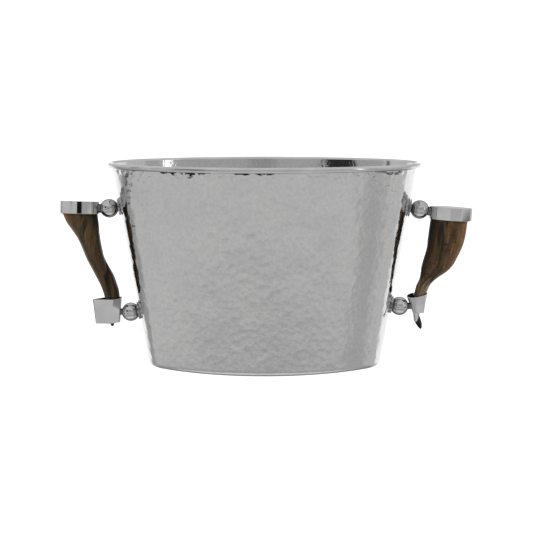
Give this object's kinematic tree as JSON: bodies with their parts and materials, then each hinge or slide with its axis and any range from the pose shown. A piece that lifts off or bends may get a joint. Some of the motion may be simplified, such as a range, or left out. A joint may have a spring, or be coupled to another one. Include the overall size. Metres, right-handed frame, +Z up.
{
  "type": "champagne bucket",
  "caption": "Oval hammered metal champagne bucket with a rolled rim, a flat standing base and a horn handle held by polished balls at each end.",
  "frame": {"origin": "middle of the bucket's standing lip, on the table plane", "axes": "+Z up; X along the length of the oval, through both handles, +X toward the broader mottled horn; -Y is the front"},
  "size_m": [0.4179, 0.2052, 0.208],
  "materials": {
    "hammered_silver": "hand-hammered, polished silver-coloured plate",
    "plain_silver": "smooth polished silver-coloured plate",
    "polished_silver": "mirror polished",
    "fixing_steel": "turned, satin",
    "left_horn": "polished natural horn, brown, streaked lengthways",
    "right_horn": "polished natural horn, mottled brown, grooved lengthways",
    "plug_wood": "plain turned wood filler",
    "seal_rubber": "matt black sealing ring"
  },
  "bodies": {
    "root": {"body_wall": "hammered_silver", "rim_wire": "plain_silver", "base_plate": "plain_silver", "left_horn": "left_horn", "left_horn_plug": "plug_wood", "left_cap_band": "polished_silver", "left_cap_plate": "polished_silver", "left_upper_neck": "polished_silver", "left_upper_ball": "polished_silver", "left_upper_flange": "polished_silver", "left_upper_screw": "fixing_steel", "left_upper_washer": "fixing_steel", "left_upper_seal": "seal_rubber", "left_lower_sleeve": "polished_silver", "left_lower_neck": "polished_silver", "left_lower_ball": "polished_silver", "left_lower_flange": "polished_silver", "left_lower_screw": "fixing_steel", "left_lower_washer": "fixing_steel", "left_lower_seal": "seal_rubber", "right_horn": "right_horn", "right_horn_plug": "plug_wood", "right_cap_band": "polished_silver", "right_cap_plate": "polished_silver", "right_upper_neck": "polished_silver", "right_upper_ball": "polished_silver", "right_upper_flange": "polished_silver", "right_upper_screw": "fixing_steel", "right_upper_washer": "fixing_steel", "right_upper_seal": "seal_rubber", "right_lower_sleeve": "polished_silver", "right_lower_neck": "polished_silver", "right_lower_ball": "polished_silver", "right_lower_flange": "polished_silver", "right_lower_screw": "fixing_steel", "right_lower_washer": "fixing_steel", "right_lower_seal": "seal_rubber"}
  },
  "joints": []
}
